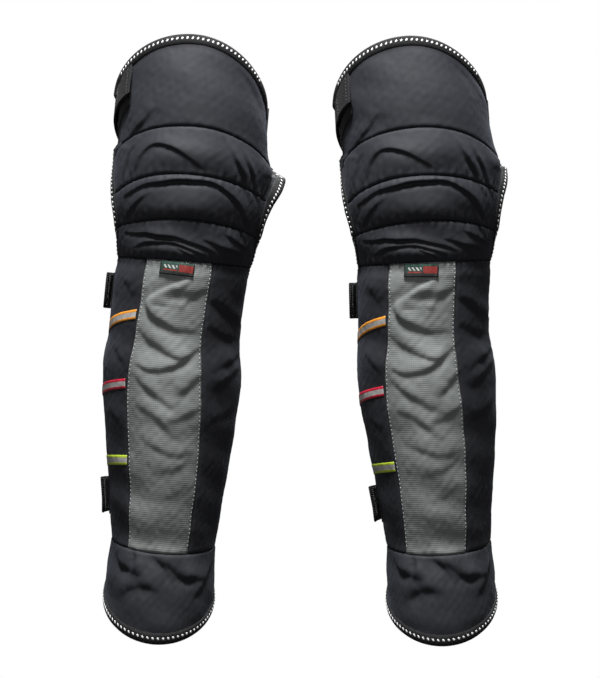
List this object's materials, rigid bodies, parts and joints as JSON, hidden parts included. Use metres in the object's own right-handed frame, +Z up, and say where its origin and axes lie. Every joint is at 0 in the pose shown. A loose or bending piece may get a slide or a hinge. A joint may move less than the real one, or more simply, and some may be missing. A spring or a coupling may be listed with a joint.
{
  "type": "padded leg guards",
  "caption": "Padded wrap-around knee and shin leg guards with gathered knee panels, a grey wear panel, reflective tapes, bound edges and hook-and-loop straps behind.",
  "frame": {"origin": "middle of the wearer's right knee, on the axis about which the right guard's thigh half bends", "axes": "+Z up the leg, +X to the wearer's left, -Y to the front"},
  "size_m": [0.4181, 0.191, 0.6416],
  "materials": {
    "softshell": "matte, faintly woven",
    "wear_fabric": "coated, fine pin-dot emboss",
    "wadding": "matte fibre",
    "plush_lining": "short plush",
    "binding": "woven, one row of white dashes",
    "tape_orange": "grey reflective middle, orange borders",
    "tape_red": "grey reflective middle, red borders",
    "tape_lime": "grey reflective middle, lime borders",
    "label": "woven label",
    "strap_webbing": "flat webbing",
    "hook_tape": "hook tape",
    "loop_tape": "loop tape",
    "foam": "closed-cell foam",
    "pocket_mesh": "knit mesh"
  },
  "bodies": {
    "right_shin": {"right_knee_panel_lower": "softshell", "right_cuff_panel": "softshell", "right_shin_panel_outer": "softshell", "right_shin_wear_panel": "wear_fabric", "right_shin_panel_inner": "softshell", "right_shin_wadding": "wadding", "right_shin_lining": "plush_lining", "right_shin_binding": "binding", "right_tape_orange": "tape_orange", "right_tape_red": "tape_red", "right_tape_lime": "tape_lime", "right_label": "label", "right_calf_loop_patch": "loop_tape", "right_ankle_loop_patch": "loop_tape", "right_knee_cup": "foam", "right_cup_pocket": "pocket_mesh"},
    "right_thigh": {"right_thigh_panel": "softshell", "right_knee_panel_upper": "softshell", "right_knee_panel_middle": "softshell", "right_thigh_wadding": "wadding", "right_thigh_lining": "plush_lining", "right_thigh_binding": "binding", "right_thigh_loop_patch": "loop_tape", "right_thigh_strap_base": "strap_webbing"},
    "right_thigh_strap": {"right_thigh_strap": "strap_webbing", "right_thigh_strap_hook": "hook_tape"},
    "right_calf_strap": {"right_calf_strap": "strap_webbing", "right_calf_strap_hook": "hook_tape"},
    "right_ankle_strap": {"right_ankle_strap": "strap_webbing", "right_ankle_strap_hook": "hook_tape"},
    "left_shin": {"left_knee_panel_lower": "softshell", "left_cuff_panel": "softshell", "left_shin_panel_outer": "softshell", "left_shin_wear_panel": "wear_fabric", "left_shin_panel_inner": "softshell", "left_shin_wadding": "wadding", "left_shin_lining": "plush_lining", "left_shin_binding": "binding", "left_tape_orange": "tape_orange", "left_tape_red": "tape_red", "left_tape_lime": "tape_lime", "left_label": "label", "left_calf_loop_patch": "loop_tape", "left_ankle_loop_patch": "loop_tape", "left_knee_cup": "foam", "left_cup_pocket": "pocket_mesh"},
    "left_thigh": {"left_thigh_panel": "softshell", "left_knee_panel_upper": "softshell", "left_knee_panel_middle": "softshell", "left_thigh_wadding": "wadding", "left_thigh_lining": "plush_lining", "left_thigh_binding": "binding", "left_thigh_loop_patch": "loop_tape", "left_thigh_strap_base": "strap_webbing"},
    "left_thigh_strap": {"left_thigh_strap": "strap_webbing", "left_thigh_strap_hook": "hook_tape"},
    "left_calf_strap": {"left_calf_strap": "strap_webbing", "left_calf_strap_hook": "hook_tape"},
    "left_ankle_strap": {"left_ankle_strap": "strap_webbing", "left_ankle_strap_hook": "hook_tape"}
  },
  "joints": [
    {"name": "right_knee_flex", "type": "hinge", "parent": "right_shin", "child": "right_thigh", "pos_m": [0, 0, 0], "axis": [-0.9968, 0, 0.0802], "range_deg": [0, 75]},
    {"name": "right_thigh_strap_open", "type": "hinge", "parent": "right_thigh", "child": "right_thigh_strap", "pos_m": [0.06341, 0.08011, 0.08553], "axis": [-0.0695, -0.5, -0.8632], "range_deg": [0, 90]},
    {"name": "right_calf_strap_open", "type": "hinge", "parent": "right_shin", "child": "right_calf_strap", "pos_m": [0.06108, 0.00814, -0.07514], "axis": [-0.0802, 0, -0.9968], "range_deg": [0, 100]},
    {"name": "right_ankle_strap_open", "type": "hinge", "parent": "right_shin", "child": "right_ankle_strap", "pos_m": [0.03371, 0.01766, -0.28806], "axis": [-0.0799, 0.0806, -0.9935], "range_deg": [0, 100]},
    {"name": "left_knee_flex", "type": "hinge", "parent": "left_shin", "child": "left_thigh", "pos_m": [0.2495, 0, -0.001], "axis": [-0.999, 0, -0.0454], "range_deg": [0, 75]},
    {"name": "left_thigh_strap_open", "type": "hinge", "parent": "left_thigh", "child": "left_thigh_strap", "pos_m": [0.30169, 0.08011, 0.0918], "axis": [0.0393, -0.5, -0.8651], "range_deg": [0, 90]},
    {"name": "left_calf_strap_open", "type": "hinge", "parent": "left_shin", "child": "left_calf_strap", "pos_m": [0.31951, 0.00814, -0.06789], "axis": [0.0454, 0, -0.999], "range_deg": [0, 100]},
    {"name": "left_ankle_strap_open", "type": "hinge", "parent": "left_shin", "child": "left_ankle_strap", "pos_m": [0.31905, 0.01766, -0.28256], "axis": [0.0452, 0.0806, -0.9957], "range_deg": [0, 100]},
    {"name": "pair_apart", "type": "slide", "parent": "right_shin", "child": "left_shin", "axis": [1, 0, 0], "range_m": [0, 0.3]}
  ]
}
